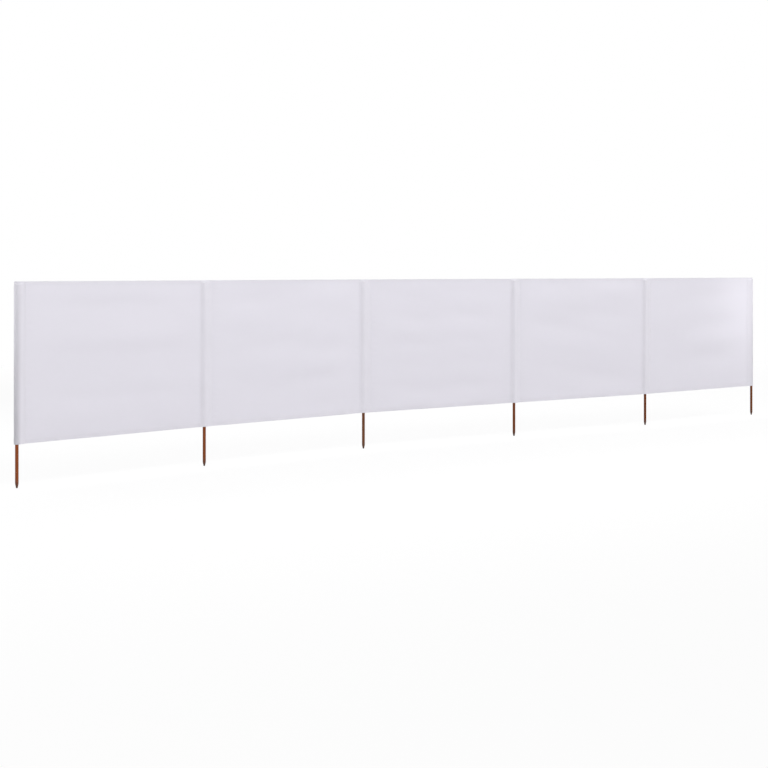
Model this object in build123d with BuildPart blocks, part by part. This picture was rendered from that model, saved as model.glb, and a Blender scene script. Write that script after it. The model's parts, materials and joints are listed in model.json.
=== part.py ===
from build123d import *
import os
from math import acos, cos, hypot, radians, sin

# Beach windbreak: one long strip of cloth on six wooden poles, pitched in five bays.
# Millimetres, +Z up. The origin is the flat tip of pole 1, the left-hand end pole seen
# from the front. +X runs along the row to the tip of pole 6, and +Y points to the back.

# Row as it is pitched: the direction of each bay in plan, in degrees from the row's line
bay_length = 1200.0
bay_headings = (6.0, 3.4, -4.2, -4.4, -0.6)

# Wooden poles, turned to a blunt point at the lower end
pole_length = 1000.0
pole_radius = 8.5
point_length = 22.0
tip_radius = 4.0
shoulder_rounding = 30.0
pole_top_rounding = 2.0

# Cloth strip
cloth_width = 800.0
cloth_thickness = 1.0
hem_width = 20.0
fold_rounding = 0.6

# Pole pockets: the cloth bulges round the pole and closes to a seam beside it.
# The end pockets have one seam. The others have a near seam and a far one.
pocket_ease = 5.5
end_reach = 45.0
near_reach = 24.0
far_reach = 52.0
seam_width = 8.0

# Closed top of a pocket: both layers lean in over the pole's top to a flat sewn strip
crown_height = 14.0
ridge_width = 5.0
seat_gap = 0.3

# How far outside a sleeve's walls the solid that shapes its top reaches
gable_margin = 1.0

# Places that follow from the sizes above
bay_count = len(bay_headings)
post_count = bay_count + 1
last_post = post_count - 1
pocket_inner_radius = pole_radius + pocket_ease
pocket_outer_radius = pocket_inner_radius + cloth_thickness
mouth_radius = pocket_inner_radius - cloth_thickness

# The crown leans in by the pocket's inner radius, and rests on the rounded edge of the
# pole's top, so the pole carries the cloth
crown_slant = hypot(pocket_inner_radius, crown_height)
rounding_to_wall = pocket_inner_radius - pole_radius + pole_top_rounding
seat_rise = (
    (pole_top_rounding + seat_gap) * crown_slant - rounding_to_wall * crown_height
) / pocket_inner_radius
inner_spring = pole_length - pole_top_rounding + seat_rise
outer_spring = inner_spring + cloth_thickness * (crown_slant - crown_height) / pocket_inner_radius
cloth_top = outer_spring + crown_height + ridge_width
cloth_bottom = cloth_top - cloth_width


def along(heading, distance):
    """Plan vector of a given length in the direction of a heading."""
    return Vector(distance * cos(radians(heading)), distance * sin(radians(heading)), 0)


def reach_after(post):
    """Distance from a post's axis to the pocket seam on its right."""
    return end_reach if post == 0 else far_reach


def reach_before(post):
    """Distance from a post's axis to the pocket seam on its left."""
    return end_reach if post == last_post else near_reach


def cross_plane(start, heading):
    """Upright plane across a heading: its x points to the back and its y is up."""
    return Plane(origin=start, x_dir=along(heading + 90, 1), z_dir=along(heading, 1))


def field_plane(bay):
    """Plane across the cloth where the single layer of a bay starts."""
    heading = bay_headings[bay]
    return cross_plane(posts[bay] + along(heading, reach_after(bay) + seam_width), heading)


def field_length(bay):
    """Length of a bay's single-layer cloth, from the end of one seam to the next."""
    return bay_length - reach_after(bay) - reach_before(bay + 1) - 2 * seam_width


def flap_plan(reach, bulge_radius, seam_half, tail):
    """Plan outline of a pocket on one side of its pole, with the seam out along +X.

    Two tangents run from the bulge round the pole to the seam, which ends in a flat tail.
    A seam with no half-thickness is the sharp inside corner of the pocket.
    """
    slope = acos((bulge_radius - seam_half) / reach)
    bulge_x, bulge_y = bulge_radius * cos(slope), bulge_radius * sin(slope)
    seam_x, seam_y = reach + seam_half * cos(slope), seam_half * sin(slope)
    with BuildSketch() as flap:
        Circle(bulge_radius)
        with BuildLine():
            if seam_half > 0:
                Polyline((bulge_x, bulge_y), (seam_x, seam_y), (seam_x, -seam_y), (bulge_x, -bulge_y))
            else:
                Polyline((bulge_x, bulge_y), (reach, 0), (bulge_x, -bulge_y))
            Line((bulge_x, -bulge_y), (bulge_x, bulge_y))
        make_face()
        if seam_half > 0:
            with Locations((reach, 0)):
                Circle(seam_half)
                Rectangle(tail, 2 * seam_half, align=(Align.MIN, Align.CENTER))
    return flap.sketch


def sides_of(post):
    """Heading and reach of each side of a post's pocket, out towards the bays it joins."""
    sides = []
    if post < last_post:
        sides.append((bay_headings[post], reach_after(post)))
    if post > 0:
        sides.append((bay_headings[post - 1] + 180, reach_before(post)))
    return sides


def sleeve_side(place, side, other_side, bulge_radius, seam_half, tail, spring, low, high):
    """One side of a sleeve, from its pole to the end of its seam.

    Above the spring line both faces lean in until they are the seam's thickness apart.
    Two sides of one sleeve meet in a mitre at the pole's axis.
    """
    heading, reach = side
    floor = Vector(place.X, place.Y, low)
    gable_radius = bulge_radius + gable_margin
    gable_spring = spring - gable_margin * crown_height / (bulge_radius - seam_half)
    ridge = spring + crown_height
    with BuildPart() as sleeve:
        with BuildSketch(Plane(origin=floor, x_dir=along(heading, 1), z_dir=(0, 0, 1))):
            add(flap_plan(reach, bulge_radius, seam_half, tail))
        extrude(amount=high - low)
        with BuildSketch(cross_plane(place - along(heading, gable_radius), heading)):
            with BuildLine():
                if seam_half > 0:
                    Polyline(
                        (gable_radius, gable_spring),
                        (seam_half, ridge),
                        (seam_half, cloth_top),
                        (-seam_half, cloth_top),
                        (-seam_half, ridge),
                        (-gable_radius, gable_spring),
                    )
                else:
                    Polyline((gable_radius, gable_spring), (0, ridge), (-gable_radius, gable_spring))
                Polyline(
                    (-gable_radius, gable_spring),
                    (-gable_radius, low - gable_margin),
                    (gable_radius, low - gable_margin),
                    (gable_radius, gable_spring),
                )
            make_face()
        extrude(amount=gable_radius + reach + tail, mode=Mode.INTERSECT)
        if other_side:
            mitre = along(heading, 1) - along(other_side[0], 1)
            split(bisect_by=Plane(origin=place, z_dir=mitre), keep=Keep.TOP)
    return sleeve.part


def sleeve(post, bulge_radius, seam_half, tail, spring, low, high):
    """The sides of one post's sleeve, as a list of solids that meet at its pole's axis.

    The reach shrinks with the radius, so every layer keeps the same slope to the seam.
    """
    sides = sides_of(post)
    layer_share = (bulge_radius - seam_half) / pocket_inner_radius
    shaped = [(heading, reach * layer_share) for heading, reach in sides]
    others = shaped[::-1] if len(shaped) > 1 else [None]
    return [
        sleeve_side(posts[post], side, other, bulge_radius, seam_half, tail, spring, low, high)
        for side, other in zip(shaped, others)
    ]


# Posts stand at the ends of equal bays laid one after another
posts = [Vector(0, 0, 0)]
for heading in bay_headings:
    posts.append(posts[-1] + along(heading, bay_length))

os.makedirs("parts", exist_ok=True)

for post, place in enumerate(posts):
    number = post + 1

    # Pole: a turned rod with a blunt point below and a flat top with a rounded edge
    with BuildPart() as pole:
        with BuildSketch(Plane(origin=place, x_dir=(1, 0, 0), z_dir=(0, -1, 0))) as half_profile:
            with BuildLine():
                Polyline(
                    (0, 0),
                    (tip_radius, 0),
                    (pole_radius, point_length),
                    (pole_radius, pole_length),
                    (0, pole_length),
                    close=True,
                )
            make_face()
            shoulder = half_profile.vertices().group_by(Axis.X)[-1].sort_by(Axis.Y)[0]
            fillet(shoulder, radius=shoulder_rounding)
            top_edge = half_profile.vertices().group_by(Axis.X)[-1].sort_by(Axis.Y)[-1]
            fillet(top_edge, radius=pole_top_rounding)
        revolve(axis=Axis(place, (0, 0, 1)))
    pole.part.label = f"pole_{number}"
    export_step(pole.part, f"parts/pole_{number}.step")

    # Pocket: a sleeve of two layers round the pole, open below and gabled over its top.
    # Its mouth is hemmed: the cloth is folded in, so the mouth is one layer narrower.
    mouth_top = cloth_bottom + hem_width
    walls = sleeve(
        post, pocket_outer_radius, cloth_thickness, seam_width, outer_spring, cloth_bottom, cloth_top
    )
    hollows = sleeve(post, pocket_inner_radius, 0, 0, inner_spring, mouth_top, cloth_top)
    mouths = sleeve(post, mouth_radius, 0, 0, inner_spring, cloth_bottom, mouth_top)
    with BuildPart() as pocket:
        add(walls)
        add(hollows, mode=Mode.SUBTRACT)
        add(mouths, mode=Mode.SUBTRACT)
    pocket.part.label = f"pocket_{number}"
    export_step(pocket.part, f"parts/pocket_{number}.step")

for bay in range(bay_count):
    number = bay + 1

    # Field of cloth, one layer thick, between the folds of its two hems
    with BuildPart() as panel:
        with BuildSketch(field_plane(bay)):
            with Locations((0, cloth_bottom + cloth_thickness)):
                Rectangle(
                    cloth_thickness,
                    cloth_width - 2 * cloth_thickness,
                    align=(Align.CENTER, Align.MIN),
                )
        extrude(amount=field_length(bay))
    panel.part.label = f"panel_{number}"
    export_step(panel.part, f"parts/panel_{number}.step")

    # Hems: the cloth folded over its edge and laid down on the back of the field
    for name, edge, inward in (("top_hem", cloth_top, -1), ("bottom_hem", cloth_bottom, 1)):
        with BuildPart() as hem:
            with BuildSketch(field_plane(bay)) as fold:
                with BuildLine():
                    Polyline(
                        (-cloth_thickness / 2, edge),
                        (cloth_thickness * 3 / 2, edge),
                        (cloth_thickness * 3 / 2, edge + inward * hem_width),
                        (cloth_thickness / 2, edge + inward * hem_width),
                        (cloth_thickness / 2, edge + inward * cloth_thickness),
                        (-cloth_thickness / 2, edge + inward * cloth_thickness),
                        close=True,
                    )
                make_face()
                by_height = fold.vertices().group_by(Axis.Y)
                fillet(by_height[-1] if inward < 0 else by_height[0], radius=fold_rounding)
            extrude(amount=field_length(bay))
        hem.part.label = f"{name}_{number}"
        export_step(hem.part, f"parts/{name}_{number}.step")
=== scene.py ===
"""Beach windbreak: white cloth on six wooden poles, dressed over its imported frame.

Lengths are metres in the row's frame. The origin is the tip of the left-hand end pole,
+X runs along the row, +Y points to the back and +Z is up.
"""

from __future__ import annotations

import json
import logging
import math
from dataclasses import dataclass, replace
from enum import Enum

import bpy
import numpy as np
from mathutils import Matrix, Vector

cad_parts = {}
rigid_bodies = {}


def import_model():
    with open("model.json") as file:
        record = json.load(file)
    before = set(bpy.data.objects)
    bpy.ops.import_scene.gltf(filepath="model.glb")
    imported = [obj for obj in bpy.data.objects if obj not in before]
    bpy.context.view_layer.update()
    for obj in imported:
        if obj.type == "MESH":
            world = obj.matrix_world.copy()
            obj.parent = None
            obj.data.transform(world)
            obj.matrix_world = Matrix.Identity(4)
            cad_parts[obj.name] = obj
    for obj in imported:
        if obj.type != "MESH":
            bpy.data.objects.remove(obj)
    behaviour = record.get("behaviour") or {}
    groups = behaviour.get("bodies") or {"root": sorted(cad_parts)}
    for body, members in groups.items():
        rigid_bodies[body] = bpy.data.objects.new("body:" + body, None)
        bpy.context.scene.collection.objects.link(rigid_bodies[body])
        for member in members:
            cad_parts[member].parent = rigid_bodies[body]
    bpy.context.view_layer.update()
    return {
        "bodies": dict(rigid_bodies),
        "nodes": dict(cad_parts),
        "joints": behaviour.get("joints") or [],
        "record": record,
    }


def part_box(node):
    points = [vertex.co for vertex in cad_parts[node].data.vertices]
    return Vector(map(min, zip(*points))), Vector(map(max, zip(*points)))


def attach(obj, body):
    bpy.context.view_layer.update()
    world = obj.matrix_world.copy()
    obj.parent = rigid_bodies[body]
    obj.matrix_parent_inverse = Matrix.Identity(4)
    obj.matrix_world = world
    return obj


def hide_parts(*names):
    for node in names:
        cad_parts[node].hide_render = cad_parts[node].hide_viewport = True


log = logging.getLogger("windbreak")

Socket = bpy.types.NodeSocket
Pair = tuple[float, float]
Triple = tuple[float, float, float]
Faces = list[tuple[int, ...]]

MILLIMETRE = 0.001
CLOTH_UV = "ClothMetres"
CLOTH_THICKNESS = 0.4 * MILLIMETRE
SHARP_ANGLE = math.radians(50)


# --------------------------------------------------------------------------- shader helpers


class NodeBench:
    """A node tree, with short calls to add and join its nodes."""

    def __init__(self, tree: bpy.types.NodeTree, output: str = "ShaderNodeOutputMaterial") -> None:
        """Clears the tree and gives it an output.

        Args:
            tree: The tree of a material or of the sky.
            output: The output node's type name.
        """
        self.tree = tree
        self.tree.nodes.clear()
        self.output = self.add(output)

    def add(self, kind: str, **settings: object) -> bpy.types.Node:
        """Adds a node.

        Args:
            kind: The node's type name.
            **settings: Properties of the node, by name.

        Returns:
            The new node.
        """
        node = self.tree.nodes.new(kind)
        for key, value in settings.items():
            setattr(node, key, value)
        return node

    def put(self, node: bpy.types.Node, **values: object) -> bpy.types.Node:
        """Feeds a node's inputs from other sockets, or sets their own values.

        Args:
            node: The node.
            **values: Sockets or plain values by the input's name, with "_" for a space.

        Returns:
            The same node.
        """
        for name, value in values.items():
            self.feed(node.inputs[name.replace("_", " ")], value)
        return node

    def feed(self, target: Socket, value: object) -> None:
        """Feeds a socket from another socket, or sets its own value.

        Args:
            target: The socket that takes it.
            value: The other socket, or a plain value.
        """
        if isinstance(value, Socket):
            self.tree.links.new(value, target)
        else:
            target.default_value = value

    def math(self, operation: str, *values: object) -> Socket:
        """Adds a math node.

        Args:
            operation: The operation's name, such as "MULTIPLY".
            *values: The values or sockets that it works on, in order.

        Returns:
            The result's socket.
        """
        node = self.add("ShaderNodeMath", operation=operation)
        for target, value in zip(node.inputs, values):
            self.feed(target, value)
        return node.outputs[0]

    def weighted(self, base: float, *terms: tuple[Socket, float]) -> Socket:
        """Adds sockets up, each times a weight, onto a plain value.

        Args:
            base: The plain value.
            *terms: Each socket with its weight.

        Returns:
            The sum's socket.
        """
        total: object = base
        for socket, weight in terms:
            total = self.math("ADD", total, self.math("MULTIPLY", socket, weight))
        return total

    def blend(self, factor: object, first: object, second: object, mode: str = "MIX") -> Socket:
        """Mixes two colours.

        Args:
            factor: How much of the second colour shows.
            first: The first colour or socket.
            second: The second colour or socket.
            mode: The blend mode's name.

        Returns:
            The mixed colour's socket.
        """
        node = self.add("ShaderNodeMix", data_type="RGBA", blend_type=mode)
        for number, value in ((0, factor), (6, first), (7, second)):
            self.feed(node.inputs[number], value)
        return node.outputs[2]

    def mix(self, share: object, first: bpy.types.Node, second: bpy.types.Node) -> bpy.types.Node:
        """Mixes two shaders.

        Args:
            share: How much of the second shader shows.
            first: The first shader's node.
            second: The second shader's node.

        Returns:
            The mixing node.
        """
        node = self.add("ShaderNodeMixShader")
        for target, value in zip(node.inputs, (share, first.outputs[0], second.outputs[0])):
            self.feed(target, value)
        return node

    def noise(self, vector: Socket, cells: Triple, detail: float = 2.0, roughness: float = 0.5) -> Socket:
        """Adds a noise texture.

        Args:
            vector: The socket with the coordinates.
            cells: How many cells a metre it has along each axis.
            detail: How many finer layers it has.
            roughness: How strong the finer layers are.

        Returns:
            The noise's value, around 0.5.
        """
        scaled = self.put(self.add("ShaderNodeMapping"), Vector=vector, Scale=cells)
        node = self.put(
            self.add("ShaderNodeTexNoise"),
            Vector=scaled.outputs["Vector"], Scale=1.0, Detail=detail, Roughness=roughness,
        )
        return node.outputs["Fac"]

    def ramp(self, value: object, reach: Pair, result: Pair, smooth: bool = False) -> Socket:
        """Maps one range of values onto another.

        Args:
            value: The socket with the value.
            reach: The values that the range runs between.
            result: What they become.
            smooth: Whether the ramp eases in and out.

        Returns:
            The mapped value's socket.
        """
        node = self.put(
            self.add("ShaderNodeMapRange", interpolation_type="SMOOTHSTEP" if smooth else "LINEAR"),
            Value=value, From_Min=reach[0], From_Max=reach[1], To_Min=result[0], To_Max=result[1],
        )
        return node.outputs[0]

    def bump(self, height: object, depth: float, normal: Socket | None = None) -> Socket:
        """Adds a bump.

        Args:
            height: The socket with the height, from 0 to 1.
            depth: What a height of 1 stands out, in metres.
            normal: A socket with the bump that it adds to, if any.

        Returns:
            The bumped normal's socket.
        """
        node = self.put(self.add("ShaderNodeBump"), Strength=1.0, Distance=depth, Height=height)
        if normal is not None:
            self.feed(node.inputs["Normal"], normal)
        return node.outputs["Normal"]

    def seen(self) -> Socket:
        """Tells what the camera sees from what only lights the object.

        Returns:
            The socket that is 1 for what is seen straight, in a gloss or through glass, and else 0.
        """
        path = self.add("ShaderNodeLightPath")
        either = self.math("MAXIMUM", path.outputs["Is Camera Ray"], path.outputs["Is Glossy Ray"])
        return self.math("MAXIMUM", either, path.outputs["Is Transmission Ray"])

    def finish(self, shader: bpy.types.Node) -> None:
        """Joins the last shader to the output."""
        self.feed(self.output.inputs["Surface"], shader.outputs[0])


def new_material(name: str) -> tuple[bpy.types.Material, NodeBench]:
    """Starts a material.

    Args:
        name: The material's name.

    Returns:
        The material, and the bench for its nodes.
    """
    material = bpy.data.materials.new(name)
    material.use_nodes = True
    return material, NodeBench(material.node_tree)


def opaque(colour: Triple) -> tuple[float, float, float, float]:
    """A colour with the full cover that a colour socket wants."""
    return (*colour, 1.0)


# --------------------------------------------------------------------------- finishes


@dataclass(frozen=True)
class PaintedSleeveShade:
    """Painted shade: grey painted into the cloth where a sleeve turns round an end pole, with what it
    takes off low down and high up.
    """

    low: float
    high: float
    heights: Pair = (0.21, 1.01)
    middle: float = 0.012
    middle_rise: float = 0.008
    half_width: float = 0.034

    def tone(self, bench: NodeBench, along: Socket, up: Socket) -> Socket:
        """The share of the cloth's colour that the painted shade leaves.

        Args:
            bench: The material being built.
            along: The socket with the length from the sleeve's outer line.
            up: The socket with the height.

        Returns:
            The socket with the share.
        """
        rise = bench.ramp(up, self.heights, (0.0, 1.0))
        middle = bench.weighted(self.middle, (rise, self.middle_rise))
        away = bench.math("ABSOLUTE", bench.math("SUBTRACT", bench.math("ABSOLUTE", along), middle))
        band = bench.ramp(away, (self.half_width, 0.0), (0.0, 1.0), smooth=True)
        depth = bench.ramp(rise, (0.0, 1.0), (self.low, self.high))
        return bench.math("SUBTRACT", 1.0, bench.math("MULTIPLY", band, depth))


@dataclass(frozen=True)
class ClothFinish:
    """Plain-woven white cloth that lets a little light through."""

    name: str
    colour: Triple = (0.82, 0.802, 0.864)
    # painted shade: grey painted into an end sleeve's colour
    painted_shade: PaintedSleeveShade | None = None
    see_through: float = 0.14
    thread_pitch: float = 0.9 * MILLIMETRE
    weave_depth: float = 0.05 * MILLIMETRE
    weave_share: float = 0.5
    slub_share: float = 0.6
    slub_cells: Pair = (30.0, 1400.0)
    cloud_cells: Triple = (1.6, 3.2, 1.0)
    soil_cells: Triple = (9.0, 14.0, 1.0)
    soil_roughness: float = 0.6
    crumple_cells: Triple = (9.0, 40.0, 1.0)
    crumple_depth: float = 0.10 * MILLIMETRE
    plain_tone: float = 0.955
    slub_tone: float = 0.03
    cloud_tone: float = 0.035
    soil_tone: float = 0.01
    roughness: float = 0.92
    gloss: float = 0.25
    sheen: float = 0.08
    sheen_roughness: float = 0.5

    def material(self) -> bpy.types.Material:
        """Builds the material.

        Returns:
            The cloth's material, which reads the cloth's own metres from its UV map.
        """
        material, bench = new_material(self.name)
        metres = bench.add("ShaderNodeUVMap", uv_map=CLOTH_UV).outputs["UV"]
        split = bench.add("ShaderNodeSeparateXYZ")
        bench.feed(split.inputs[0], metres)
        along, up = split.outputs[0], split.outputs[1]
        slubs = self._slubs(bench, metres)
        colour = self._colour(bench, metres, along, up, slubs)
        normal = self._normal(bench, metres, along, up, slubs)
        cloth = bench.put(
            bench.add("ShaderNodeBsdfPrincipled"),
            Base_Color=colour, Roughness=self.roughness, Specular_IOR_Level=self.gloss,
            Sheen_Weight=self.sheen, Sheen_Roughness=self.sheen_roughness, Normal=normal,
        )
        through = bench.put(bench.add("ShaderNodeBsdfTranslucent"), Color=colour, Normal=normal)
        bench.finish(bench.mix(self.see_through, cloth, through))
        return material

    def _slubs(self, bench: NodeBench, metres: Socket) -> Socket:
        """Thick places in the threads, along and up the cloth.

        Args:
            bench: The material being built.
            metres: The socket with the cloth's own metres.

        Returns:
            The socket with how thick the threads are.
        """
        long, fine = self.slub_cells
        along = bench.noise(metres, (long, fine, 1.0))
        return bench.math("ADD", along, bench.noise(metres, (fine, long, 1.0)))

    def _colour(
        self, bench: NodeBench, metres: Socket, along: Socket, up: Socket, slubs: Socket
    ) -> Socket:
        """The cloth's colour, a little uneven, with painted shade on an end sleeve if it has one.

        Args:
            bench: The material being built.
            metres: The socket with the cloth's own metres.
            along: The socket with the distance along the cloth.
            up: The socket with the distance up it.
            slubs: The socket with the threads' thick places.

        Returns:
            The colour's socket.
        """
        clouds = bench.noise(metres, self.cloud_cells, 3.0)
        soiling = bench.noise(metres, self.soil_cells, 4.0, self.soil_roughness)
        tone = bench.weighted(self.plain_tone, (slubs, self.slub_tone), (clouds, self.cloud_tone))
        tone = bench.math("SUBTRACT", tone, bench.math("MULTIPLY", soiling, self.soil_tone))
        # painted shade on an end sleeve, multiplied into the colour
        if self.painted_shade:
            tone = bench.math("MULTIPLY", tone, self.painted_shade.tone(bench, along, up))
        grey = bench.put(bench.add("ShaderNodeCombineColor"), Red=tone, Green=tone, Blue=tone)
        return bench.blend(1.0, opaque(self.colour), grey.outputs[0], "MULTIPLY")

    def _normal(
        self, bench: NodeBench, metres: Socket, along: Socket, up: Socket, slubs: Socket
    ) -> Socket:
        """The weave, and the fine crumples that it never loses.

        Args:
            bench: The material being built.
            metres: The socket with the cloth's own metres.
            along: The socket with the distance along the cloth.
            up: The socket with the distance up it.
            slubs: The socket with the threads' thick places.

        Returns:
            The bumped normal's socket.
        """
        turn = math.pi / self.thread_pitch
        warp = bench.math("SINE", bench.math("MULTIPLY", along, turn))
        weft = bench.math("SINE", bench.math("MULTIPLY", up, turn))
        weave = bench.math("MULTIPLY", bench.math("MULTIPLY", warp, weft), self.weave_share)
        height = bench.math("ADD", weave, bench.math("MULTIPLY", slubs, self.slub_share))
        woven = bench.bump(height, self.weave_depth)
        return bench.bump(bench.noise(metres, self.crumple_cells, 3.0), self.crumple_depth, woven)


@dataclass(frozen=True)
class ThreadFinish:
    """Twisted white sewing thread."""

    name: str
    colour: Triple = (0.74, 0.73, 0.77)
    # painted shade for the ply's slant bands
    painted_ply_shade: Triple = (0.55, 0.54, 0.56)
    painted_ply_shade_share: float = 0.12
    ply_pitch: float = 0.5 * MILLIMETRE
    ply_depth: float = 0.05 * MILLIMETRE
    roughness: float = 0.7

    def material(self) -> bpy.types.Material:
        """Builds the material.

        Returns:
            The thread's material, with the slant bands of its ply and painted shade along them.
        """
        material, bench = new_material(self.name)
        ply = bench.put(
            bench.add("ShaderNodeTexWave", wave_type="BANDS", bands_direction="DIAGONAL"),
            Vector=bench.add("ShaderNodeTexCoord").outputs["Object"],
            Scale=1.0 / (self.ply_pitch * math.tau / 2),
        ).outputs["Fac"]
        # painted shade along the ply's slant bands, blended into the colour
        share = bench.math("MULTIPLY", ply, self.painted_ply_shade_share)
        thread = bench.put(
            bench.add("ShaderNodeBsdfPrincipled"),
            Base_Color=bench.blend(share, opaque(self.colour), opaque(self.painted_ply_shade)),
            Roughness=self.roughness, Normal=bench.bump(ply, self.ply_depth),
        )
        bench.finish(thread)
        return material


@dataclass(frozen=True)
class WoodFinish:
    """Round wooden pole in a red-brown stain, scuffed and darker at its point."""

    name: str
    stain: Triple
    point_height: float
    seed: float = 0.0
    fibre_cells: Triple = (1500.0, 1500.0, 22.0)
    band_cells: Triple = (260.0, 260.0, 3.0)
    patch_cells: Triple = (18.0, 18.0, 7.0)
    fibre_share: float = 0.55
    grain_reach: Pair = (0.32, 0.68)
    dark: float = 0.45
    light: float = 1.45
    patch_share: float = 0.35
    # darker colour towards the pole's point
    dark_point: Triple = (0.085, 0.062, 0.055)
    dark_point_share: float = 0.8
    dark_point_waver: float = 0.03
    gloss: float = 0.07
    roughness: float = 0.60
    fibre_roughness: float = 0.25
    fibre_depth: float = 0.12 * MILLIMETRE

    def material(self) -> bpy.types.Material:
        """Builds the material.

        Returns:
            The wood's material, its grain drawn out along the pole.
        """
        material, bench = new_material(self.name)
        place = bench.add("ShaderNodeTexCoord").outputs["Object"]
        shift = bench.add("ShaderNodeVectorMath", operation="ADD")
        bench.feed(shift.inputs[0], place)
        shift.inputs[1].default_value = (self.seed, 0.0, self.seed * 0.37)
        spot = shift.outputs[0]
        fibres = bench.noise(spot, self.fibre_cells, 4.0, 0.6)
        bands = bench.noise(spot, self.band_cells, 3.0)
        colour = self._grain(bench, spot, fibres, bands)

        up = bench.add("ShaderNodeSeparateXYZ")
        bench.feed(up.inputs[0], place)
        # darker towards the point, blended into the wood's colour
        edge = bench.math("ADD", up.outputs[2], bench.math("MULTIPLY", bands, self.dark_point_waver))
        dark_point = bench.ramp(edge, (self.point_height, self.point_height * 3.0), (self.dark_point_share, 0.0))
        wood = bench.put(
            bench.add("ShaderNodeBsdfPrincipled"),
            Base_Color=bench.blend(dark_point, colour, opaque(self.dark_point)),
            Roughness=bench.weighted(self.roughness, (fibres, self.fibre_roughness)),
            Specular_IOR_Level=self.gloss, Normal=bench.bump(fibres, self.fibre_depth),
        )
        bench.finish(wood)
        return material

    def _grain(self, bench: NodeBench, spot: Socket, fibres: Socket, bands: Socket) -> Socket:
        """The stained wood's colour, darker in its fibres and bands.

        Args:
            bench: The material being built.
            spot: The socket with the place in this piece of wood.
            fibres: The socket with the fine fibres.
            bands: The socket with the wider bands.

        Returns:
            The colour's socket.
        """
        patches = bench.noise(spot, self.patch_cells)
        dark = tuple(self.dark * part for part in self.stain)
        light = tuple(min(1.0, self.light * part) for part in self.stain)
        fine = bench.math("MULTIPLY", fibres, self.fibre_share)
        grain = bench.math("ADD", fine, bench.math("MULTIPLY", bands, 1.0 - self.fibre_share))
        pale = bench.ramp(grain, self.grain_reach, (0.0, 1.0))
        colour = bench.blend(pale, opaque(dark), opaque(light))
        return bench.blend(bench.math("MULTIPLY", patches, self.patch_share), colour, opaque(self.stain))


@dataclass(frozen=True)
class FloorFinish:
    """Plain pale floor that keeps a faint shadow and throws back a little light."""

    middle: Triple
    name: str = "studio_floor"
    bounce: float = 0.75
    pale: float = 0.93
    whiteness: float = 0.86
    shadow_reach: Pair = (4.5, 9.0)

    def material(self) -> bpy.types.Material:
        """Builds the material.

        Returns:
            The floor's material, white to the camera and grey to the light it returns.
        """
        material, bench = new_material(self.name)
        seen = bench.seen()
        grey = bench.put(bench.add("ShaderNodeBsdfDiffuse"), Color=opaque((self.bounce,) * 3))
        pale = bench.put(bench.add("ShaderNodeBsdfDiffuse"), Color=opaque((self.pale,) * 3))
        white = bench.put(bench.add("ShaderNodeEmission"), Strength=1.0)
        away = bench.add("ShaderNodeVectorMath", operation="DISTANCE")
        bench.feed(away.inputs[0], bench.add("ShaderNodeTexCoord").outputs["Object"])
        away.inputs[1].default_value = self.middle
        share = bench.ramp(away.outputs["Value"], self.shadow_reach, (self.whiteness, 1.0))
        bench.finish(bench.mix(seen, grey, bench.mix(share, pale, white)))
        return material


# --------------------------------------------------------------------------- mesh helpers


def make_object(
    name: str, vertices: np.ndarray, faces: Faces, uvs: np.ndarray | None, material: bpy.types.Material
) -> bpy.types.Object:
    """Makes a mesh object and links it to the scene.

    Args:
        name: The piece's name.
        vertices: One row a vertex.
        faces: Vertex numbers, one tuple a face.
        uvs: The cloth's own metres at each vertex, if it is cloth.
        material: The piece's material.

    Returns:
        The new object, smooth where its faces meet gently.
    """
    mesh = bpy.data.meshes.new(name)
    mesh.from_pydata(vertices.tolist(), [], faces)
    mesh.materials.append(material)
    if uvs is not None:
        layer = mesh.uv_layers.new(name=CLOTH_UV)
        corners = np.empty(len(mesh.loops), dtype=np.int32)
        mesh.loops.foreach_get("vertex_index", corners)
        layer.data.foreach_set("uv", uvs[corners].astype(np.float32).ravel())
    mesh.shade_smooth()
    mesh.set_sharp_from_angle(angle=SHARP_ANGLE)
    mesh.update()
    piece = bpy.data.objects.new(name, mesh)
    bpy.context.scene.collection.objects.link(piece)
    return piece


def declare(piece: bpy.types.Object, slot: str, *nodes: str) -> bpy.types.Object:
    """Fixes a piece to the row's one body, and hides the frame's solids that it takes the place of.

    Args:
        piece: The piece.
        slot: Not used.
        *nodes: The frame's solids that it takes the place of.

    Returns:
        The same piece.
    """
    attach(piece, "root")
    if nodes:
        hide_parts(*nodes)
    return piece


def grid_normals(grid: np.ndarray) -> np.ndarray:
    """Unit normals of a grid of points.

    Args:
        grid: Points as (rows, columns, 3).

    Returns:
        One normal a point, as (rows, columns, 3).
    """
    normals = np.cross(np.gradient(grid, axis=1), np.gradient(grid, axis=0))
    return normals / np.linalg.norm(normals, axis=2, keepdims=True)


def quads_of(numbers: np.ndarray) -> np.ndarray:
    """The four-sided faces between the vertices of a grid, one row a face."""
    around = [numbers[:-1, :-1], numbers[:-1, 1:], numbers[1:, 1:], numbers[1:, :-1]]
    return np.stack(around, axis=-1).reshape(-1, 4)


def as_faces(numbers: np.ndarray) -> Faces:
    """Rows of vertex numbers as the tuples that a mesh wants."""
    return [tuple(face) for face in numbers.tolist()]


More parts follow.
